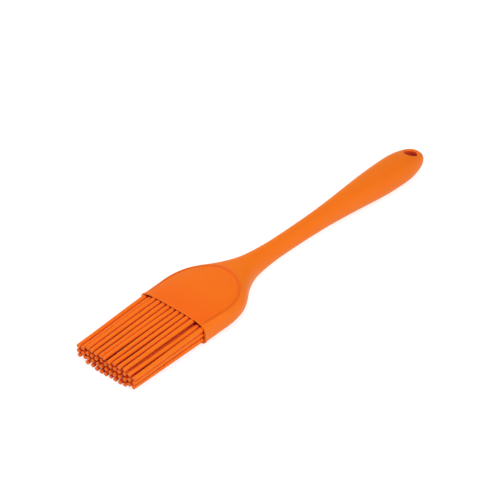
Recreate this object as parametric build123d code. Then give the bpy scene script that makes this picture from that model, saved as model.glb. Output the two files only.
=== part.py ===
from build123d import *
import math
import os

# Silicone pastry brush: a paddle-shaped head with a pocket full of round
# bristles, a slim round neck and a swelling oval grip with a hang hole.
# Millimetres.  +X runs along the handle towards the hang hole, the bristles
# point along -X, +Z is up through the thickness.  Everything is laid out from
# the centre of the pocket mouth, then moved on export so that the origin is
# the centre of the hang hole.

# ---------------------------------------------------------------- dimensions
# Outer skin of the handle, one section per row:
# x, half width (Y), half thickness (Z), super-ellipse exponent, centre height
SKIN = [
    (0.0,   18.72, 5.94, 3.80,  0.00),
    (4.0,   18.78, 6.08, 3.60,  0.16),
    (8.5,   18.95, 6.22, 3.40,  0.31),
    (13.0,  19.20, 6.29, 3.15,  0.44),
    (16.5,  19.22, 6.31, 3.00,  0.52),
    (20.0,  18.85, 6.32, 2.80,  0.58),
    (23.5,  17.95, 6.31, 2.68,  0.63),
    (26.5,  16.65, 6.28, 2.60,  0.66),
    (29.5,  14.82, 6.22, 2.55,  0.68),
    (32.5,  12.50, 6.13, 2.48,  0.70),
    (35.5,  10.28, 5.99, 2.42,  0.71),
    (39.0,   8.22, 5.72, 2.35,  0.71),
    (43.0,   6.55, 5.36, 2.26,  0.71),
    (48.0,   5.32, 4.95, 2.16,  0.70),
    (54.0,   4.65, 4.55, 2.08,  0.68),
    (63.0,   4.20, 4.30, 2.02,  0.65),
    (74.0,   4.18, 4.27, 2.02,  0.58),
    (86.0,   4.42, 4.45, 2.05,  0.46),
    (98.0,   4.97, 4.83, 2.10,  0.35),
    (109.0,  5.72, 5.29, 2.16,  0.22),
    (120.0,  6.72, 5.75, 2.22,  0.03),
    (130.0,  7.52, 6.03, 2.28, -0.20),
    (138.0,  7.93, 6.03, 2.30, -0.35),
    (144.0,  7.90, 5.80, 2.30, -0.40),
    (149.0,  7.26, 5.33, 2.28, -0.38),
    (153.0,  6.30, 4.60, 2.26, -0.32),
    (156.0,  5.05, 3.72, 2.24, -0.24),
    (158.0,  3.65, 2.75, 2.22, -0.18),
    (159.1,  2.25, 1.72, 2.20, -0.12),
    (159.5,  1.20, 0.92, 2.20, -0.09),
]

# Rigid core, same columns as SKIN
CORE = [
    (8.36,  15.40, 3.30, 3.0,  0.20),
    (13.0,  15.90, 3.50, 2.9,  0.40),
    (18.0,  15.80, 3.60, 2.8,  0.55),
    (23.0,  14.30, 3.65, 2.6,  0.62),
    (28.0,  11.60, 3.65, 2.5,  0.66),
    (33.0,   8.40, 3.55, 2.4,  0.70),
    (38.0,   5.90, 3.35, 2.3,  0.71),
    (44.0,   4.10, 3.00, 2.2,  0.71),
    (52.0,   2.95, 2.65, 2.1,  0.69),
    (63.0,   2.45, 2.45, 2.0,  0.65),
    (76.0,   2.45, 2.45, 2.0,  0.57),
    (90.0,   2.70, 2.60, 2.0,  0.43),
    (104.0,  3.30, 2.90, 2.1,  0.28),
    (118.0,  4.30, 3.20, 2.2,  0.06),
    (130.0,  5.10, 3.30, 2.2, -0.20),
    (140.0,  5.40, 3.00, 2.2, -0.36),
    (146.0,  5.20, 2.30, 2.3, -0.40),
    (149.6,  4.60, 1.60, 2.4, -0.38),
]
CORE_CLEAR = 0.03           # moulding clearance around the core

# Hang hole, and the eyelet of the core round it
HOLE_X = 153.1
HOLE_Z = -0.30              # height of the hole's centre
HOLE_R = 3.1
HOLE_LIP = 0.9              # fillet round both mouths
EYE_R_OUT = 5.05
EYE_R_IN = 4.00
EYE_H = 3.0
LINING_OVERLAP = 0.2        # the lining runs this far into the skin at each end

# Shallow U-shaped panel sunk into each face of the head
PANEL_HALF_W_MOUTH = 16.47
PANEL_HALF_W_TURN = 17.15   # where the sides turn into the round end
PANEL_TURN_X = 14.0
PANEL_APEX_X = 33.3
PANEL_EXPONENT = 2.14       # super-ellipse exponent of the round end
PANEL_DEPTH = 0.36
PANEL_DEPTH_MOUTH = 0.12    # the recess fades towards the mouth
PANEL_FADE = 9.0            # over this length
PANEL_OUTLINE_X0 = -1       # the cutter starts outside the mouth
PANEL_FLOOR_X0 = -1.5       # and the body it is trimmed by starts further out
PANEL_FLOOR_X_LIMIT = 45    # that body uses the skin sections short of this x
PANEL_ARC_STEPS = 24

# Raised bead round the mouth of the pocket
BEAD_LEN = 1.2
BEAD_UP = 0.28
BEAD_FILLET = 0.8 * BEAD_UP

# Pocket for the bristle block
POCKET_HALF_W = 17.88
POCKET_HALF_T = 5.46
POCKET_EXPONENT = 4.4
POCKET_DEPTH = 8.40

# Tongue of the core that the bristle block is moulded over
TONGUE_X0 = 4.1
TONGUE_HALF_W = 12.6
TONGUE_T = 2.0
TONGUE_CORNER_R = 1.2
TONGUE_OVERLAP = 0.6        # how far it runs into the core body
KEY_X = 6.2
KEY_R = 1.6                 # flow-through holes that lock the block to the core
KEY_YS = (-8.4, 0.0, 8.4)

# Bristle block
BASE_X0, BASE_X1 = 3.2, 8.30
BASE_CLEAR = 0.05           # clearance to the pocket wall
SLOT_LEN = 12               # tongue slot, long enough to open the block's +X face
STUB_X = 1.5                # where the moulded-in root stubs end
STUB_OVERLAP = 0.3          # how far they run into the block

# Bristles
BRISTLE_LEN = 39.5          # free length beyond the mouth
ROOT_R = 1.10
TIP_R = 0.95
HINGE_X = -0.5              # every bristle row bends about a line at this x
TIP_NARROW = 0.965          # the tuft is a little narrower at the tips
TIP_THIN = 0.97             # and a little thinner
TIP_DROOP = 1.25            # and hangs a little
ROW_PITCH = 2.78            # spacing of the four main rows in Z
COLUMN_PITCH = 2.76         # spacing of the bristles within them in Y
MAIN_YS = [i * COLUMN_PITCH for i in range(-4, 5)]
END_PITCH = 2.50            # Z spacing of the three rows in the rounded ends
END_YS = (-16.35, -13.75, 13.75, 16.35)
# piece name: height of the row, places of its bristles across the width
ROWS = {
    "bristle_row_top": (1.5 * ROW_PITCH, MAIN_YS),
    "bristle_row_upper": (0.5 * ROW_PITCH, MAIN_YS),
    "bristle_row_lower": (-0.5 * ROW_PITCH, MAIN_YS),
    "bristle_row_bottom": (-1.5 * ROW_PITCH, MAIN_YS),
    "end_bristles_top": (END_PITCH, END_YS),
    "end_bristles_middle": (0.0, END_YS),
    "end_bristles_bottom": (-END_PITCH, END_YS),
}


# ------------------------------------------------------------------- helpers
def superellipse_point(angle, semi_u, semi_v, exponent):
    c, s = math.cos(angle), math.sin(angle)
    return (semi_u * math.copysign(abs(c) ** (2.0 / exponent), c),
            semi_v * math.copysign(abs(s) ** (2.0 / exponent), s))


def section(x, half_w, half_t, exponent, centre_z, count=40):
    """Closed super-ellipse face in the plane at x."""
    points = []
    for i in range(count):
        y, z = superellipse_point(2.0 * math.pi * i / count, half_w, half_t, exponent)
        points.append((x, y, z + centre_z))
    return Face(Wire([Spline(*points, periodic=True)]))


def loft_body(table, grow=0.0):
    return Solid.make_loft([
        section(x, half_w + grow, half_t + grow, exponent, centre_z).outer_wire()
        for x, half_w, half_t, exponent, centre_z in table])


def prism(x0, x1, half_w, half_t, exponent, centre_z=0.0):
    face = section(x0, half_w, half_t, exponent, centre_z, count=56)
    return Solid.extrude(face, Vector(x1 - x0, 0, 0))


def post(x, y, radius, z0, z1):
    """Cylinder along Z."""
    return Solid.make_cylinder(radius, z1 - z0, Plane(origin=(x, y, z0), z_dir=(0, 0, 1)))


def bore(x, y, radius):
    """Cutter that passes through the whole thickness."""
    return post(x, y, radius, -12, 12)


def eye_post(radius, extra):
    """Post on the hang hole, longer than the eyelet by extra at each end."""
    reach = EYE_H / 2 + extra
    return post(HOLE_X, 0, radius, HOLE_Z - reach, HOLE_Z + reach)


def tongue_plate(length, clear=0.0):
    """Flat plate with the two corners nearest the mouth rounded."""
    half_w = TONGUE_HALF_W + clear
    thickness = TONGUE_T + 2 * clear
    corner = (TONGUE_X0 - clear, -half_w, -thickness / 2)
    plate = Solid.make_box(length, 2 * half_w, thickness,
                           Plane(origin=corner, z_dir=(0, 0, 1)))
    return plate.fillet(TONGUE_CORNER_R, [e for e in plate.edges().filter_by(Axis.Z)
                                          if e.center().X < TONGUE_X0 + 0.1])


def largest(shape):
    """The largest solid of a boolean result."""
    return max(shape.solids(), key=lambda solid: solid.volume)


# --------------------------------------------------------------- rigid core
def core_body(grow=0.0):
    """Core without its tongue, every surface offset outwards by grow."""
    out = loft_body(CORE, grow).fuse(eye_post(EYE_R_OUT + grow, grow))
    return largest(out.cut(bore(HOLE_X, 0, EYE_R_IN - grow)))


def make_core():
    out = core_body().fuse(tongue_plate(CORE[0][0] + TONGUE_OVERLAP - TONGUE_X0))
    for y in KEY_YS:
        out = out.cut(bore(KEY_X, y, KEY_R))
    return largest(out)


# ------------------------------------------------------------- handle sleeve
def panel_depth(x):
    """Depth of the panels, eased smoothly from the mouth to full depth."""
    t = min(1.0, max(0.0, x / PANEL_FADE))
    return PANEL_DEPTH_MOUTH + (PANEL_DEPTH - PANEL_DEPTH_MOUTH) * t * t * (3 - 2 * t)


def panel_outline():
    """Closed U in the XY plane, with its round end towards +X."""
    arc = []
    for i in range(PANEL_ARC_STEPS + 1):
        angle = -math.pi / 2 + math.pi * i / PANEL_ARC_STEPS
        x, y = superellipse_point(angle, PANEL_APEX_X - PANEL_TURN_X,
                                  PANEL_HALF_W_TURN, PANEL_EXPONENT)
        arc.append((PANEL_TURN_X + x, y, 0))
    start_low = (PANEL_OUTLINE_X0, -PANEL_HALF_W_MOUTH, 0)
    start_high = (PANEL_OUTLINE_X0, PANEL_HALF_W_MOUTH, 0)
    mouth_low = (0, -PANEL_HALF_W_MOUTH, 0)
    mouth_high = (0, PANEL_HALF_W_MOUTH, 0)
    return Wire([
        Line(start_low, mouth_low),
        Line(mouth_low, arc[0]),
        Spline(*arc, tangents=[(1, 0, 0), (-1, 0, 0)]),
        Line(arc[-1], mouth_high),
        Line(mouth_high, start_high),
        Line(start_high, start_low),
    ])


def panel_cutters():
    """What lies inside the U outline but outside a slightly smaller skin."""
    rows = [(PANEL_FLOOR_X0, *SKIN[0][1:])]
    rows += [row for row in SKIN if row[0] < PANEL_FLOOR_X_LIMIT]
    floor = loft_body([
        (x, half_w - panel_depth(x), half_t - panel_depth(x), exponent, centre_z)
        for x, half_w, half_t, exponent, centre_z in rows])
    column = Solid.extrude(Face(panel_outline()), Vector(0, 0, 20))
    return column.translate(Vector(0, 0, -10)).cut(floor).solids()


def mouth_bead():
    x, half_w, half_t, exponent, centre_z = SKIN[0]
    bead = prism(x, x + BEAD_LEN, half_w + BEAD_UP, half_t + BEAD_UP, exponent, centre_z)
    return bead.fillet(BEAD_FILLET, bead.edges())


def is_hole_lip(edge):
    """True for the rim edges of the hang hole, not for its seam."""
    points = [edge.position_at(k / 8) for k in range(9)]
    heights = [p.Z for p in points]
    on_bore = all(abs(math.hypot(p.X - HOLE_X, p.Y) - HOLE_R) < 0.02 for p in points)
    return (on_bore and min(abs(z) for z in heights) > 2.2
            and edge.length > 2.0 and max(heights) - min(heights) < 4.0)


def make_sleeve():
    sleeve = loft_body(SKIN)
    for cutter in panel_cutters():
        sleeve = largest(sleeve.cut(cutter))
    sleeve = largest(sleeve.fuse(mouth_bead()))
    sleeve = sleeve.cut(prism(-1.0, POCKET_DEPTH, POCKET_HALF_W, POCKET_HALF_T,
                              POCKET_EXPONENT))
    sleeve = largest(sleeve.cut(core_body(CORE_CLEAR)))
    # the lining of the hang hole stays inside the core's eyelet
    sleeve = largest(sleeve.fuse(eye_post(EYE_R_IN - CORE_CLEAR, LINING_OVERLAP)))
    sleeve = largest(sleeve.cut(bore(HOLE_X, 0, HOLE_R)))
    return largest(sleeve.fillet(HOLE_LIP, [e for e in sleeve.edges() if is_hole_lip(e)]))


# ------------------------------------------------------------- bristle block
def make_block():
    block = prism(BASE_X0, BASE_X1, POCKET_HALF_W - BASE_CLEAR,
                  POCKET_HALF_T - BASE_CLEAR, POCKET_EXPONENT)
    slot = tongue_plate(SLOT_LEN, CORE_CLEAR)
    # pins left standing in the slot fill the key holes of the tongue
    for y in KEY_YS:
        slot = slot.cut(post(KEY_X, y, KEY_R - CORE_CLEAR, -3, 3))
    block = largest(block.cut(slot))
    stubs = [
        Solid.make_cylinder(ROOT_R, BASE_X0 + STUB_OVERLAP - STUB_X,
                            Plane(origin=(STUB_X, y, z), z_dir=(1, 0, 0)))
        for z, ys in ROWS.values() for y in ys]
    return largest(block.fuse(*stubs))


# ------------------------------------------------------------------ bristles
REACH = BRISTLE_LEN + HINGE_X       # from the bending line to the tip plane


def make_bristle():
    """Bristle along +X: domed root centred on the origin, slight taper, flat tip."""
    diagonal = ROOT_R * math.cos(math.pi / 4)
    profile = Wire([
        ThreePointArc((-ROOT_R, 0, 0), (-diagonal, 0, diagonal), (0, 0, ROOT_R)),
        Line((0, 0, ROOT_R), (REACH, 0, TIP_R)),
        Line((REACH, 0, TIP_R), (REACH, 0, 0)),
        Line((REACH, 0, 0), (-ROOT_R, 0, 0)),
    ])
    return Solid.revolve(Face(profile), 360, Axis((0, 0, 0), (1, 0, 0)))


def place_bristle(bristle, y, z):
    """Root the bristle on the bending line, aimed at its place in the tip plane."""
    aim = Vector(-REACH, y * TIP_NARROW - y, z * TIP_THIN - z - TIP_DROOP)
    return bristle.moved(Location(Plane(
        origin=(HINGE_X, y, z), x_dir=aim.normalized(),
        z_dir=aim.cross(Vector(0, 1, 0)).normalized())))


# -------------------------------------------------------------------- export
os.makedirs("parts", exist_ok=True)
to_origin = Location((-HOLE_X, 0, -HOLE_Z))
pieces = {
    "handle_sleeve": make_sleeve(),
    "handle_core": make_core(),
    "bristle_block": make_block(),
}
for name, piece in pieces.items():
    export_step(piece.moved(to_origin), f"parts/{name}.step")

bristle = make_bristle()
for name, (z, ys) in ROWS.items():
    row = Compound(children=[place_bristle(bristle, y, z).moved(to_origin) for y in ys])
    export_step(row, f"parts/{name}.step")
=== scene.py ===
"""Silicone brush with a flat head and a slim grip, lying along X.

The handle runs in +X from the pocket mouth in the head to the hang hole, Y is across it and
Z is up.  The bristles leave the pocket in -X.  Lengths are millimetres from the centre of
the pocket mouth; world() turns them into metres from the centre of the hang hole.
"""
import math
import random
from itertools import product

import bpy
import numpy as np
from mathutils import Matrix, Vector

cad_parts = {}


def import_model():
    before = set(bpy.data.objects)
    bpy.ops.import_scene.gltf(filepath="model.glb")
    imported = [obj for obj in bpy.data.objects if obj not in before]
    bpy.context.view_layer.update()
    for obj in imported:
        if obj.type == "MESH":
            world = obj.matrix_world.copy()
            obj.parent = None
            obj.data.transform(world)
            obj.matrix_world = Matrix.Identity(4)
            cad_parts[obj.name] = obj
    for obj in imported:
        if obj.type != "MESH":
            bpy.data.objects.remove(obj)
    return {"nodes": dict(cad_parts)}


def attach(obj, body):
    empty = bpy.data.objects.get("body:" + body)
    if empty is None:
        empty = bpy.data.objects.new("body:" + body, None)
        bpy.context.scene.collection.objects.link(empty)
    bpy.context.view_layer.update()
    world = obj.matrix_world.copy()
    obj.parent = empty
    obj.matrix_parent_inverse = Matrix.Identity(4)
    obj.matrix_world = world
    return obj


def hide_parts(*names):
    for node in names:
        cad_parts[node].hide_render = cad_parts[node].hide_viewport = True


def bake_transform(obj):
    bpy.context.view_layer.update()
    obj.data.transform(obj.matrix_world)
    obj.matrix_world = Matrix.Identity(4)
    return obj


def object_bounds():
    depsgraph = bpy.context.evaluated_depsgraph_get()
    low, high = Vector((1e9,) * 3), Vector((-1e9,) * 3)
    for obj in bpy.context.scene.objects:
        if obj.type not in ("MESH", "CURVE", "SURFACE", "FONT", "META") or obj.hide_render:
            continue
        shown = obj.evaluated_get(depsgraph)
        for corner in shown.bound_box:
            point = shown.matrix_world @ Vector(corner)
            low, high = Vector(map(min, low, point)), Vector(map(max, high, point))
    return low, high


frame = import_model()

scene = bpy.context.scene
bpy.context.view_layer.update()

HOLE_X, HOLE_Z = 153.1, -0.30


def world(points):
    points = np.asarray(points, float)
    return (points - np.array([HOLE_X, 0.0, HOLE_Z])) / 1000.0


# ---------------------------------------------------------------- curves and distance fields
def pchip(knots_x, knots_y, x):
    """Monotone cubic through the knots, flat beyond the ends."""
    knots_x, knots_y = np.asarray(knots_x, float), np.asarray(knots_y, float)
    gap = np.diff(knots_x)
    rise = np.diff(knots_y) / gap
    slope = np.zeros_like(knots_y)
    for i in range(1, len(knots_x) - 1):
        if rise[i - 1] * rise[i] > 0:
            before, after = 2 * gap[i] + gap[i - 1], gap[i] + 2 * gap[i - 1]
            slope[i] = (before + after) / (before / rise[i - 1] + after / rise[i])
    slope[0], slope[-1] = rise[0], rise[-1]
    x = np.clip(x, knots_x[0], knots_x[-1])
    i = np.clip(np.searchsorted(knots_x, x, side="right") - 1, 0, len(knots_x) - 2)
    t = (x - knots_x[i]) / gap[i]
    return ((1 + 2 * t) * (1 - t) ** 2 * knots_y[i] + t * (1 - t) ** 2 * gap[i] * slope[i]
            + t * t * (3 - 2 * t) * knots_y[i + 1] + t * t * (t - 1) * gap[i] * slope[i + 1])


SAMPLE_STEP = 0.1
SAMPLE_X = np.linspace(-4, 162, 1661)


def softened(knots_x, knots_y, sigma):
    """Curve through the knots at every SAMPLE_X, blurred by a Gaussian of width sigma."""
    values = pchip(knots_x, knots_y, SAMPLE_X)
    n = int(4 * sigma / SAMPLE_STEP)
    kernel = np.exp(-0.5 * (np.arange(-n, n + 1) * SAMPLE_STEP / sigma) ** 2)
    kernel /= kernel.sum()
    padded = np.concatenate([2 * values[0] - values[n:0:-1], values,
                             2 * values[-1] - values[-2:-n - 2:-1]])
    return np.convolve(padded, kernel, "valid")


def sample(curves, x):
    return [np.interp(x, SAMPLE_X, curve) for curve in curves]


def round_max(a, b, radius):
    """Intersection of two distance fields with its edge rounded."""
    u, v = np.maximum(a + radius, 0), np.maximum(b + radius, 0)
    return np.minimum(-radius, np.maximum(a, b)) + np.sqrt(u * u + v * v)


def smoothstep(t):
    t = np.clip(t, 0, 1)
    return t * t * (3 - 2 * t)


def section(y, z, half_y, half_z, power):
    """Super-ellipse: relative radius (1 on the outline) and its slope per millimetre."""
    u, v = np.abs(y) / half_y, np.abs(z) / half_z
    total = u ** power + v ** power + 1e-12
    radius = total ** (1 / power)
    scale = total ** (1 / power - 1)
    slope_y, slope_z = scale * u ** (power - 1) / half_y, scale * v ** (power - 1) / half_z
    slope = np.sqrt(slope_y * slope_y + slope_z * slope_z)
    return radius, np.maximum(slope, 0.35 / np.maximum(half_y, half_z))


# ------------------------------------------------------------------------------- handle skin
LENGTH = 159.5
CAP_X = 143.0                # the round end of the grip starts here
CAP_LENGTH = LENGTH - CAP_X

# Cross-section along the handle: x knots, values, blur.
BODY = [softened(*curve) for curve in (
    # half width
    ([0, 7.7, 15.4, 23.1, 28.9, 34.7, 40.5, 46.2, 54.0, 63.6, 77.1, 92.5, 107.9, 121.4, 133.0,
      142.6, 150.3, 155.1, 158.0, 160.5],
     [18.72, 18.91, 19.27, 18.08, 15.19, 10.81, 7.57, 5.62, 4.65, 4.14, 4.24, 4.60, 5.63, 6.86,
      7.74, 7.98, 7.84, 8.05, 8.75, 9.40], 1.6),
    # half height
    ([0, 5, 12, 22, 30, 36, 42, 48, 54, 62, 72, 84, 96, 108, 120, 131, 140, 147, 152, 156,
      158.5, 160.5],
     [5.94, 6.12, 6.28, 6.32, 6.22, 5.95, 5.45, 4.95, 4.55, 4.30, 4.25, 4.40, 4.75, 5.25, 5.75,
      6.05, 6.02, 5.74, 5.80, 6.00, 6.20, 6.30], 2.2),
    # super-ellipse power
    ([0, 10, 20, 31.9, 42, 52.6, 79.8, 104, 127.6, 159.5],
     [3.80, 3.25, 2.82, 2.50, 2.28, 2.10, 2.02, 2.16, 2.30, 2.25], 2.5),
    # centre height
    ([0, 23.9, 52.6, 79.8, 111.7, 135.6, 159.5],
     [0.0, 0.64, 0.68, 0.54, 0.21, -0.37, -0.30], 4.0))]

POCKET_HALF_Y, POCKET_HALF_Z, POCKET_POWER, POCKET_DEPTH = 17.88, 5.50, 4.4, 8.40
POCKET_DRAFT = 0.34          # how much the pocket narrows inside its mouth
MOUTH_ROUND, POCKET_ROUND = 0.16, 0.10
BORE_R, LIP_R = 3.1, 1.35    # hang hole and its rounded lips

# U-shaped panel on the head's faces: straight sides to PANEL_SIDE_X, then an arc to PANEL_END_X.
PANEL_SIDE_X, PANEL_END_X, PANEL_POWER = 14.0, 33.3, 2.14
PANEL_HALF_Y, PANEL_WIDENING = 16.47, 0.68
HEAD_END_X = 40

# Core inside the skin: x, half width, half height, super-ellipse power, centre height.
CORE = [
    (8.36, 15.40, 3.30, 3.0, 0.20), (13.0, 15.90, 3.50, 2.9, 0.40), (18.0, 15.80, 3.60, 2.8, 0.55),
    (23.0, 14.30, 3.65, 2.6, 0.62), (28.0, 11.60, 3.65, 2.5, 0.66), (33.0, 8.40, 3.55, 2.4, 0.70),
    (38.0, 5.90, 3.35, 2.3, 0.71), (44.0, 4.10, 3.00, 2.2, 0.71), (52.0, 2.95, 2.65, 2.1, 0.69),
    (63.0, 2.45, 2.45, 2.0, 0.65), (76.0, 2.45, 2.45, 2.0, 0.57), (90.0, 2.70, 2.60, 2.0, 0.43),
    (104.0, 3.30, 2.90, 2.1, 0.28), (118.0, 4.30, 3.20, 2.2, 0.06),
    (130.0, 5.10, 3.30, 2.2, -0.20), (140.0, 5.40, 3.00, 2.2, -0.36),
    (146.0, 5.20, 2.30, 2.3, -0.40), (149.6, 4.60, 1.60, 2.4, -0.38)]
CORE_X, *CORE_COLUMNS = zip(*CORE)
CORE_CURVES = [pchip(CORE_X, column, SAMPLE_X) for column in CORE_COLUMNS]
CORE_END_X, CORE_CLEARANCE = 149.63, 0.03
EYE_BORE_R, EYE_R, EYE_HALF_Z = 3.97, 5.08, 1.53     # the core's flat ring at the hang hole


def panel_inside(x, y):
    """Distance inside the U outline of the head's face panel, in plan."""
    arc = PANEL_END_X - PANEL_SIDE_X
    half = PANEL_HALF_Y + PANEL_WIDENING * np.clip(x / PANEL_SIDE_X, 0, 1)
    u = np.maximum(0, (x - PANEL_SIDE_X) / arc)
    v = np.abs(y) / half
    power = PANEL_POWER
    total = u ** power + v ** power + 1e-9
    scale = total ** (1 / power - 1)
    slope = np.hypot(scale * u ** (power - 1) / arc, scale * v ** (power - 1) / half)
    return (1 - total ** (1 / power)) / np.maximum(slope, 0.03)


def body_field(x, y, z):
    """The plain outer form, closed by a round cap at the hang hole end."""
    half_y, half_z, power, centre_z = sample(BODY, x)
    radius, slope = section(y, z - centre_z, half_y, half_z, power)
    cap = np.maximum(0, (x - CAP_X) / CAP_LENGTH)
    total = np.sqrt(radius * radius + cap * cap)
    divisor = np.maximum(total, 1e-6)
    slope_x = cap / CAP_LENGTH / divisor
    slope = np.hypot(slope * np.where(cap > 0, radius / divisor, 1.0), slope_x)
    return (total - 1) / np.maximum(slope, 0.02)


def core_field(x, y, z, hole_distance):
    """The core as a rod plus a flat eye round the hang hole."""
    half_y, half_z, power, centre_z = sample(CORE_CURVES, x)
    radius, slope = section(y, z - centre_z, half_y + CORE_CLEARANCE, half_z + CORE_CLEARANCE,
                            power)
    ends = np.maximum(CORE_X[0] - x, x - CORE_END_X)
    bore = EYE_BORE_R - hole_distance
    rod = np.maximum(np.maximum((radius - 1) / slope, ends), bore)
    eye = np.maximum(np.maximum(hole_distance - EYE_R, bore), np.abs(z - HOLE_Z) - EYE_HALF_Z)
    return np.minimum(rod, eye)


def skin_field(x, y, z):
    """Distance field of the silicone skin, negative inside the material."""
    field = body_field(x, y, z)
    inside = panel_inside(x, y)
    # shallow face panel: a crisp edge, then a soft slope down to the flat
    second_rise = smoothstep((x - 9.0) / 7.0)
    depth = 0.10 + 0.28 * smoothstep(x / 9.0) + 0.24 * second_rise
    run = np.maximum(inside + 0.05, 0)
    run = run * run / (run + 0.12)
    field = field + depth * (1 - np.exp(-run / (0.40 + 0.12 * second_rise))) * (x < HEAD_END_X)
    # slight ridge just outside the panel
    ridge = 0.10 * np.exp(-((inside + 0.45) / 0.42) ** 2)
    field = field - ridge * smoothstep((x - 3) / 8) * (x < HEAD_END_X)
    # bead round the rim of the pocket, fuller at the two sides
    bead = 0.07 + 0.19 * smoothstep((np.abs(y) - 15.5) / 2.5)
    field = field - bead * np.sqrt(np.clip(1 - ((x - 0.30) / 0.80) ** 2, 0, 1))
    field = round_max(field, -x, MOUTH_ROUND)
    # pocket
    draft = POCKET_DRAFT * smoothstep((x - 0.5) / 1.3)
    radius, slope = section(y, z, POCKET_HALF_Y - draft, POCKET_HALF_Z - draft, POCKET_POWER)
    pocket = np.maximum((radius - 1) / slope, x - POCKET_DEPTH)
    field = round_max(field, -pocket, POCKET_ROUND)
    # hang hole with soft lips
    hole_distance = np.hypot(x - HOLE_X, y)
    field = round_max(field, BORE_R - hole_distance, LIP_R)
    return np.maximum(field, -core_field(x, y, z, hole_distance))


# ------------------------------------------------------------------------------ mesh builders
def steps(*runs):
    """Grid positions from runs of (start, end, step), each step fitted to its run."""
    out = []
    for start, end, step in runs:
        n = max(1, int(round((end - start) / step)))
        out += list(np.linspace(start, end, n + 1)[:-1])
    out.append(runs[-1][1])
    return np.array(out)


LOW_HIGH = (slice(0, -1), slice(1, None))


def edge_ends(values, axis, others=slice(None)):
    """Values at the low and high node of each grid edge along an axis."""
    parts = [[others] * 3 for _ in LOW_HIGH]
    for part, end in zip(parts, LOW_HIGH):
        part[axis] = end
    return [values[tuple(part)] for part in parts]


def along(values, axis):
    shape = [1, 1, 1]
    shape[axis] = -1
    return values.reshape(shape)


def to_surface(field, points, rounds=5, probe=0.01, longest_move=0.2):
    """Move points onto field = 0 by limited Newton steps."""
    for _ in range(rounds):
        gradient = np.stack([field(*(points + step).T) - field(*(points - step).T)
                             for step in probe * np.eye(3)], 1) / (2 * probe)
        square = np.maximum((gradient * gradient).sum(1), 0.25)
        move = -(field(*points.T) / square)[:, None] * gradient
        length = np.linalg.norm(move, axis=1, keepdims=True)
        points = points + move * np.minimum(1, longest_move / np.maximum(length, 1e-9))
    return points


def surface_nets(field, *grids):
    """Quad mesh of field = 0 on a rectilinear grid: a point per crossed cell."""
    values = np.broadcast_to(field(*[along(grid, axis) for axis, grid in enumerate(grids)]),
                             [len(grid) for grid in grids])
    solid = values < 0
    cells = tuple(n - 1 for n in values.shape)
    total = np.zeros(cells + (3,))
    count = np.zeros(cells)
    for axis, grid in enumerate(grids):
        low, high = edge_ends(values, axis)
        solid_low, solid_high = edge_ends(solid, axis)
        cross = solid_low != solid_high
        t = np.where(cross, low / np.where(cross, low - high, 1.0), 0)
        place = along(grid[:-1], axis) + t * along(grid[1:] - grid[:-1], axis)
        others = [i for i in range(3) if i != axis]
        for ends in product(LOW_HIGH, repeat=2):
            part = [slice(None)] * 3
            for other, end in zip(others, ends):
                part[other] = end
            part = tuple(part)
            crossed = cross[part]
            total[..., axis] += np.where(crossed, place[part], 0)
            for other, end in zip(others, ends):
                total[..., other] += np.where(crossed, along(grids[other][end], other), 0)
            count += crossed
    used = count > 0
    index = np.full(used.shape, -1, np.int64)
    index[used] = np.arange(used.sum())
    points = total[used] / count[used][:, None]

    quads = []
    for axis in range(3):
        second, third = (axis + 1) % 3, (axis + 2) % 3
        low, high = edge_ends(solid, axis, others=slice(1, -1))
        for mask, flip in ((low & ~high, False), (~low & high, True)):
            base = np.argwhere(mask)
            corners = []
            for shift_second, shift_third in ((0, 0), (1, 0), (1, 1), (0, 1)):
                cell = base.copy()
                cell[:, second] += shift_second
                cell[:, third] += shift_third
                corners.append(index[tuple(cell.T)])
            quad = np.stack(corners, 1)
            quads.append(quad[:, ::-1] if flip else quad)
    return to_surface(field, points), np.concatenate(quads)


def smooth_object(name, mesh):
    mesh.polygons.foreach_set("use_smooth", np.ones(len(mesh.polygons), bool))
    obj = bpy.data.objects.new(name, mesh)
    scene.collection.objects.link(obj)
    return obj


def quad_object(name, points, quads):
    mesh = bpy.data.meshes.new(name)
    quads = np.asarray(quads, np.int32)
    mesh.vertices.add(len(points))
    mesh.vertices.foreach_set("co", world(points).astype(np.float32).ravel())
    mesh.loops.add(quads.size)
    mesh.loops.foreach_set("vertex_index", quads.ravel())
    mesh.polygons.add(len(quads))
    mesh.polygons.foreach_set("loop_start", np.arange(0, quads.size, 4, dtype=np.int32))
    mesh.update(calc_edges=True)
    mesh.validate()
    return smooth_object(name, mesh)


def add_attribute(obj, name, values):
    attribute = obj.data.attributes.new(name, "FLOAT", "POINT")
    attribute.data.foreach_set("value", values.astype(np.float32))


def build_skin():
    coarse = 1.0
    points, quads = surface_nets(
        skin_field,
        steps((-1.2, 2.4, 0.14 * coarse), (2.4, 13, 0.30 * coarse), (13, 36, 0.30 * coarse),
              (36, 143, 0.50 * coarse), (143, 160.4, 0.26 * coarse)),
        steps((-20.4, 20.4, 0.30 * coarse)),
        steps((-7.4, 8.0, 0.26 * coarse)))
    skin = quad_object("handle_skin", points, quads)

    # masks for the material's painted shade: the sunk panel is painted darker, strongest at its
    # edge and near the mouth, where its slope and tilt would catch shade, and a thin painted line
    # of shade lies along its step
    x, y, z = points.T
    inside = panel_inside(x, y)
    on_face = (x < 36) & (np.abs(z) > 3.5)
    panel_shade = np.where(on_face & (x > 0.12), smoothstep((inside + 0.10) / 0.30), 0.0)
    panel_shade = panel_shade * np.maximum(0.32 + 0.43 * (1 - smoothstep((x - 3) / 17)),
                               np.exp(-(np.maximum(inside, 0) / 1.6) ** 2))
    add_attribute(skin, "panel_shade", panel_shade)
    # painted line of shade just inside the panel's step
    step_shade = np.where(on_face, np.exp(-((inside - 0.35) / 0.55) ** 2), 0.0)
    add_attribute(skin, "step_shade", step_shade * smoothstep((x - 0.5) / 3.0))
    return skin


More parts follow.
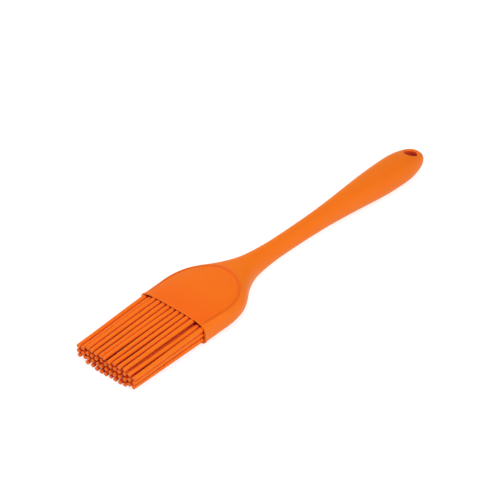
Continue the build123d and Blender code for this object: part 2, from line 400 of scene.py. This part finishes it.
# ----------------------------------------------------------------------------------- bristles
HINGE_X = -0.5               # where a bristle starts to bend
BRISTLE_LENGTH = 39.5        # free length, from the pocket mouth
ROOT_R, TIP_R = 1.13, 0.93
BRISTLE_SIDES = 28
# Columns run from +Y to -Y.
COLUMN_PITCH = 2.76
OUTER_COLUMNS = [16.35, 13.75] + [COLUMN_PITCH * i for i in (4, 3, 2, 1)]
COLUMN_Y = OUTER_COLUMNS + [0.0] + [-y for y in reversed(OUTER_COLUMNS)]
MIDDLE, ENDS = range(2, 11), (0, 1, 11, 12)
ROW_END_LIFT = 0.975         # roots at the ends of the long rows sit closer to the mid-plane

# Row name: root height, columns, tip (y, z) of each bristle.
ROWS = {
    "bristle_row_top": (4.30, MIDDLE, [
        (10.30, 2.72), (7.85, 2.80), (5.20, 2.70), (2.56, 2.75), (0.46, 2.80),
        (-2.92, 2.85), (-5.38, 2.90), (-8.50, 2.95), (-11.35, 3.02)]),
    "bristle_row_upper": (1.43, MIDDLE, [
        (10.43, -0.02), (7.99, 0.08), (5.40, 0.00), (2.75, 0.06), (0.01, -0.09),
        (-2.81, 0.12), (-5.80, 0.62), (-8.30, 0.66), (-11.10, 0.86)]),
    "bristle_row_lower": (-1.43, MIDDLE, [
        (10.34, -2.40), (7.74, -2.44), (5.18, -2.76), (2.70, -2.76), (-0.05, -2.82),
        (-2.80, -2.78), (-5.47, -2.42), (-8.22, -2.23), (-11.00, -2.10)]),
    "bristle_row_bottom": (-4.30, MIDDLE, [
        (10.75, -4.70), (8.10, -5.16), (5.45, -5.40), (2.80, -5.43), (0.42, -5.58),
        (-2.20, -5.54), (-5.00, -5.45), (-7.91, -5.30), (-10.60, -5.06)]),
    "end_bristles_top": (2.50, ENDS, [
        (15.75, 1.11), (13.20, 1.30), (-14.15, 2.10), (-17.05, 1.60)]),
    "end_bristles_middle": (0.0, ENDS, [
        (15.78, -1.16), (13.10, -1.30), (-14.00, -0.55), (-16.75, -0.72)]),
    "end_bristles_bottom": (-2.50, ENDS, [
        (15.50, -3.42), (12.90, -3.60), (-13.45, -3.45), (-16.05, -3.30)]),
}
# Extra length of the bristles that stand out or fall short, by row and column.
EXTRA_LENGTH = {
    ("bristle_row_top", 7): 0.7, ("bristle_row_top", 2): -0.2,
    ("bristle_row_upper", 5): -0.35, ("bristle_row_upper", 9): 0.2,
    ("bristle_row_lower", 4): -0.3, ("bristle_row_lower", 8): 0.25,
    ("bristle_row_bottom", 2): 0.3, ("bristle_row_bottom", 7): -0.25,
    ("end_bristles_top", 12): 0.2, ("end_bristles_bottom", 1): -0.35}
# Root (y, z) of the bristles that leave the regular pattern.
MOVED_ROOTS = {("end_bristles_top", 0): (16.62, 2.72), ("end_bristles_top", 1): (13.80, 3.02)}

# Distances past the hinge of the first rings; the even run of rings follows.
ROOT_STATIONS = [-1.97, -1.2, -0.5, 0.0, 0.6, 1.4, 2.6]
# Soft edge of the square-cut tip: distance short of the tip, radius lost.
TIP_EDGE = [(0.45, 0.0), (0.17, 0.0), (0.07, 0.035), (0.015, 0.10), (0.0, 0.19), (0.0, 0.60)]

rng = random.Random(11)


def bristle(root, tip, length, bow):
    """Points and faces of one bristle; root, tip and bow are (y, z)."""
    reach = length + HINGE_X
    phase = rng.uniform(0, 6.28)
    oval = rng.uniform(-0.012, 0.012)
    tilt_y, tilt_z = rng.uniform(-0.05, 0.05), rng.uniform(-0.06, 0.03)
    angle = 2 * math.pi * np.arange(BRISTLE_SIDES) / BRISTLE_SIDES

    def centre(distance):
        t = max(0.0, distance) / reach
        drift = 0.72 * t + 0.28 * t * t * (3 - 2 * t) if t < 1 else t
        bulge = math.sin(math.pi * min(1, t))
        return np.array([HINGE_X - distance] + [
            root[i] + (tip[i] - root[i]) * drift + bow[i] * bulge for i in (0, 1)])

    def ring(distance, radius, tilted=False):
        forward = centre(distance + 0.05) - centre(distance - 0.05)
        forward /= np.linalg.norm(forward)
        side = np.cross(forward, (0, 0, 1.0))
        side /= np.linalg.norm(side)
        radii = radius * (1 + oval * np.cos(2 * angle + phase))
        offset = (np.outer(radii * np.cos(angle), side)
                  + np.outer(radii * np.sin(angle), np.cross(side, forward)))
        points = centre(distance) + offset
        if tilted:
            points -= np.outer(tilt_y * offset[:, 1] + tilt_z * offset[:, 2], forward)
        return points

    rings = []
    for distance in ROOT_STATIONS + list(np.linspace(4.2, reach - 0.9, 27)):
        t = max(0.0, distance) / reach
        rings.append(ring(distance, ROOT_R + (TIP_R - ROOT_R) * (0.55 * t + 0.45 * t * t)))
    for short, lost in TIP_EDGE:
        rings.append(ring(reach - short, TIP_R - lost, tilted=True))
    points = np.concatenate(rings + [[centre(ROOT_STATIONS[0])], [centre(reach)]])

    root_cap, tip_cap = len(points) - 2, len(points) - 1
    last = (len(rings) - 1) * BRISTLE_SIDES
    around = [(j, (j + 1) % BRISTLE_SIDES) for j in range(BRISTLE_SIDES)]
    faces = [(a + j, a + k, a + BRISTLE_SIDES + k, a + BRISTLE_SIDES + j)
             for a in range(0, last, BRISTLE_SIDES) for j, k in around]
    for j, k in around:
        faces += [(k, j, root_cap), (last + j, last + k, tip_cap)]
    return points, faces


def build_row(row, root_z, columns, tips):
    all_points, faces, base = [], [], 0
    for column, tip in zip(columns, tips):
        length = BRISTLE_LENGTH + rng.uniform(-0.25, 0.15) + EXTRA_LENGTH.get((row, column), 0.0)
        bow = (rng.uniform(-0.10, 0.10), rng.uniform(-0.08, 0.08))
        z = root_z * (ROW_END_LIFT if column in (MIDDLE[0], MIDDLE[-1]) else 1.0)
        root = MOVED_ROOTS.get((row, column), (COLUMN_Y[column], z))
        points, bristle_faces = bristle(root, tip, length, bow)
        all_points.append(points)
        faces += [tuple(i + base for i in face) for face in bristle_faces]
        base += len(points)
    mesh = bpy.data.meshes.new(row + "_soft")
    mesh.from_pydata([tuple(p) for p in world(np.concatenate(all_points))], [], faces)
    mesh.update()
    return smooth_object(row + "_soft", mesh)


# ---------------------------------------------------------------------------------- materials
class Shader:
    """A Principled material, with short ways to add nodes to it."""

    def __init__(self, name):
        self.material = bpy.data.materials.new(name)
        self.material.use_nodes = True
        self.tree = self.material.node_tree

    def fill(self, node, inputs):
        """Link the inputs given as sockets and set the others."""
        for key, value in inputs.items():
            if isinstance(value, bpy.types.NodeSocket):
                self.tree.links.new(value, node.inputs[key])
            else:
                node.inputs[key].default_value = value

    def surface(self, inputs):
        self.fill(self.tree.nodes["Principled BSDF"], inputs)

    def add(self, kind, output, inputs, **settings):
        node = self.tree.nodes.new("ShaderNode" + kind)
        for key, value in settings.items():
            setattr(node, key, value)
        self.fill(node, inputs)
        return node.outputs[output]

    def noise(self, vector, scale, detail, roughness=0.5):
        return self.add("TexNoise", "Fac", {"Vector": vector, "Scale": scale, "Detail": detail,
                                            "Roughness": roughness})

    def ramp(self, factor, *stops):
        colour = self.add("ValToRGB", "Color", {"Fac": factor})
        for element, (position, stop_colour) in zip(colour.node.color_ramp.elements, stops):
            element.position = position
            element.color = (*stop_colour, 1)
        return colour

    def mix(self, factor, first, second):
        return self.add("MixRGB", "Color", {"Fac": factor, "Color1": first, "Color2": second})

    def bump(self, height, strength, distance):
        return self.add("Bump", "Normal", {"Strength": strength, "Distance": distance,
                                           "Height": height})


DUST = (0.80, 0.22, 0.04, 1)
# painted shade for the sunk panel
PANEL_SHADE_COLOUR = (0.726, 0.098, 0.003, 1)
# painted shade for the line along the panel's step
STEP_SHADE_COLOUR = (0.60, 0.092, 0.004, 1)
# painted sheen for edges turned away from the camera
EDGE_SHEEN_COLOUR = (0.97, 0.32, 0.05, 1)
# painted shade for crevices
CREVICE_SHADE_COLOUR = (0.86, 0.076, 0.010, 1)


def silicone(name, base, deep, rough, bump, edge_sheen, gloss, reach, own, pit, pit_range, panel_shade):
    """Matt moulded silicone: faint clouding, fine grain, painted sheen on turned-away edges and
    painted red shade in crevices.

    reach, own: distance of the occlusion, and whether only the object itself occludes.
    pit, pit_range: painted shade colour of the deepest crevices and the occlusion range it fades
    over.
    inset: paint the head's sunk panel darker and a line of shade along its step, from the mesh
    attributes; both are painted shade.
    """
    shader = Shader(name)
    place = shader.add("TexCoord", "Object", {})
    cloud = shader.noise(place, scale=55.0, detail=4.0, roughness=0.6)
    colour = shader.ramp(cloud, (0.30, deep), (0.72, base))
    # tiny specks of moulding dust
    speck = shader.noise(place, scale=1500.0, detail=2.0)
    dust = shader.add("MapRange", "Result", {"Value": speck, "From Min": 0.02, "From Max": 0.80,
                                             "To Max": 0.10})
    colour = shader.mix(dust, colour, DUST)
    if panel_shade:
        # painted shade: the sunk panel is mixed to a deeper orange, and its step gets a thin
        # darker line, standing in for the shade they catch
        for attribute, tint in (("panel_shade", PANEL_SHADE_COLOUR), ("step_shade", STEP_SHADE_COLOUR)):
            mask = shader.add("Attribute", "Fac", {}, attribute_name=attribute)
            colour = shader.mix(mask, colour, tint)
    # painted sheen: edges turned away from the camera are mixed to a paler orange, standing in for
    # grazing reflection of the white surroundings
    facing = shader.add("LayerWeight", "Facing", {"Blend": 0.5})
    power = shader.add("Math", "Value", {0: facing, 1: 3.0}, operation="POWER")
    gain = shader.add("Math", "Value", {0: power, 1: edge_sheen}, operation="MULTIPLY")
    colour = shader.mix(gain, colour, EDGE_SHEEN_COLOUR)
    # painted shade: crevices, found by occlusion, are mixed to a deep red, as light that has
    # bounced between orange walls does
    openness = shader.add("AmbientOcclusion", "AO", {"Distance": reach},
                          samples=8, only_local=own)
    for tint, (closed, opened) in ((CREVICE_SHADE_COLOUR, (0.36, 0.78)), (pit, pit_range)):
        shade = shader.add("MapRange", "Result", {"Value": openness, "From Min": closed,
                                                  "From Max": opened})
        colour = shader.mix(shade, tint, colour)
    # roughness varies a little with handling
    smear = shader.noise(place, scale=120.0, detail=6.0)
    roughness = shader.add("MapRange", "Result", {"Value": smear, "To Min": rough - 0.07,
                                                  "To Max": rough + 0.07})
    # grain of the mould, fine over coarse
    fine = shader.noise(place, scale=3200.0, detail=3.0)
    coarse = shader.noise(place, scale=260.0, detail=3.0)
    grain = shader.add("Math", "Value", {0: fine, 1: 0.25, 2: coarse}, operation="MULTIPLY_ADD")
    shader.surface({
        "Base Color": colour, "Roughness": roughness,
        "Normal": shader.bump(grain, strength=bump, distance=0.00006),
        "IOR": 1.41, "Specular IOR Level": gloss,
        "Subsurface Radius": (1.0, 0.30, 0.08), "Subsurface Scale": 0.0012,
        "Sheen Roughness": 0.35, "Sheen Tint": (1.0, 0.72, 0.55, 1)})
    return shader.material


def nylon(name):
    """Off-white nylon with a grain drawn out along X."""
    shader = Shader(name)
    place = shader.add("TexCoord", "Object", {})
    stretched = shader.add("Mapping", "Vector", {"Vector": place, "Scale": (0.15, 1.0, 1.0)})
    fibre = shader.noise(stretched, scale=900.0, detail=5.0)
    shader.surface({
        "Base Color": shader.ramp(fibre, (0.35, (0.40, 0.385, 0.34)), (0.68, (0.62, 0.60, 0.54))),
        "Normal": shader.bump(fibre, strength=0.3, distance=0.00005),
        "Roughness": 0.55})
    return shader.material


# ----------------------------------------------------------------------------------- assembly
skin = build_skin()
rows = [(row, build_row(row, *layout)) for row, layout in ROWS.items()]

skin_material = silicone(
    "silicone_skin", base=(0.740, 0.144, 0.004), deep=(0.722, 0.135, 0.003), rough=0.50,
    bump=0.25, edge_sheen=0.55, gloss=0.19, reach=0.0080, own=True,
    pit=(0.10, 0.005, 0.010, 1), pit_range=(0.12, 0.55), panel_shade=True)
bristle_material = silicone(
    "silicone_bristles", base=(0.738, 0.143, 0.004), deep=(0.714, 0.131, 0.003), rough=0.46,
    bump=0.15, edge_sheen=0.10, gloss=0.15, reach=0.0040, own=False,
    pit=(0.27, 0.010, 0.026, 1), pit_range=(0.06, 0.42), panel_shade=False)
core_material = nylon("core_nylon")

skin.data.materials.append(skin_material)
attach(skin, "handle")
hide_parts("handle_sleeve")

for row, obj in rows:
    obj.data.materials.append(bristle_material)
    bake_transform(obj)
    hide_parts(row)

for node, material in (("bristle_block", bristle_material), ("handle_core", core_material)):
    materials = frame["nodes"][node].data.materials
    materials.clear()
    materials.append(material)


# -------------------------------------------------------------------------- stage (in metres)
def build_floor(half=6, gap=0.00005):
    """Pale, faintly glowing floor just under the product."""
    mesh = bpy.data.meshes.new("floor")
    mesh.from_pydata([(-half, -half, 0), (half, -half, 0), (half, half, 0), (-half, half, 0)],
                     [], [(0, 1, 2, 3)])
    floor = bpy.data.objects.new("floor", mesh)
    floor.location = (0, 0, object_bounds()[0][2] - gap)
    scene.collection.objects.link(floor)
    shader = Shader("floor_pale")
    shader.surface({"Base Color": (0.30, 0.30, 0.30, 1), "Roughness": 0.9,
                    "Specular IOR Level": 0.0, "Emission Color": (1, 1, 1, 1),
                    "Emission Strength": 0.76})
    mesh.materials.append(shader.material)


def build_world():
    studio = bpy.data.worlds.new("studio")
    scene.world = studio
    studio.use_nodes = True
    background = studio.node_tree.nodes["Background"]
    background.inputs["Color"].default_value = (1, 1, 1, 1)
    background.inputs["Strength"].default_value = 0.02


LIGHT_DISTANCE, LIGHT_SIZE = 0.9, 0.55
# Name, direction in degrees from +X towards +Y, elevation in degrees, watts.
LIGHTS = [
    ("key", 240, 52, 5.95), ("far_low", 90, 20, 3.5), ("near_low", 270, 20, 1.7),
    ("top", 0, 89, 1.6), ("far_high", 120, 52, 1.7), ("left_low", 150, 20, 1.0),
    ("right_low", 330, 20, 0.9), ("neck_low", 30, 20, 0.3), ("front", 195, 28, 0.9)]


def build_light(name, direction, elevation, power):
    """Disk light aimed at a point on the grip near the head."""
    target = Vector(world((60, 0, 0)))
    turn, lift = math.radians(direction), math.radians(elevation)
    away = Vector((math.cos(lift) * math.cos(turn), math.cos(lift) * math.sin(turn),
                   math.sin(lift)))
    data = bpy.data.lights.new(name, "AREA")
    data.shape = "DISK"
    data.size = LIGHT_SIZE
    data.energy = power
    light = bpy.data.objects.new(name, data)
    light.location = target + LIGHT_DISTANCE * away
    light.rotation_mode = "QUATERNION"
    light.rotation_quaternion = (-away).to_track_quat("-Z", "Y")
    scene.collection.objects.link(light)


CAMERA_PLACE = (-499.1731, -539.2801, 581.3117)      # millimetres from the pocket mouth
# Heading from +Y towards +X, angle below the horizon, roll; in degrees.
CAMERA_ANGLES = (45.3665, 36.7195, -2.4547)


def build_camera():
    heading, dip, roll = (math.radians(angle) for angle in CAMERA_ANGLES)
    forward = Vector((math.sin(heading) * math.cos(dip), math.cos(heading) * math.cos(dip),
                      -math.sin(dip)))
    level = Vector((math.cos(heading), -math.sin(heading), 0))
    upright = level.cross(forward)
    right = level * math.cos(roll) + upright * math.sin(roll)
    up = upright * math.cos(roll) - level * math.sin(roll)
    data = bpy.data.cameras.new("camera")
    data.sensor_width = 36.0
    data.lens = 162.2755656
    data.clip_start, data.clip_end = 0.05, 30
    camera = bpy.data.objects.new("camera", data)
    axes = Matrix((right, up, -forward)).transposed().to_4x4()
    camera.matrix_world = Matrix.Translation(Vector(world(CAMERA_PLACE))) @ axes
    scene.collection.objects.link(camera)
    scene.camera = camera


build_floor()
build_world()
for light_row in LIGHTS:
    build_light(*light_row)
build_camera()
scene.view_settings.view_transform = "Standard"
scene.view_settings.look = "None"
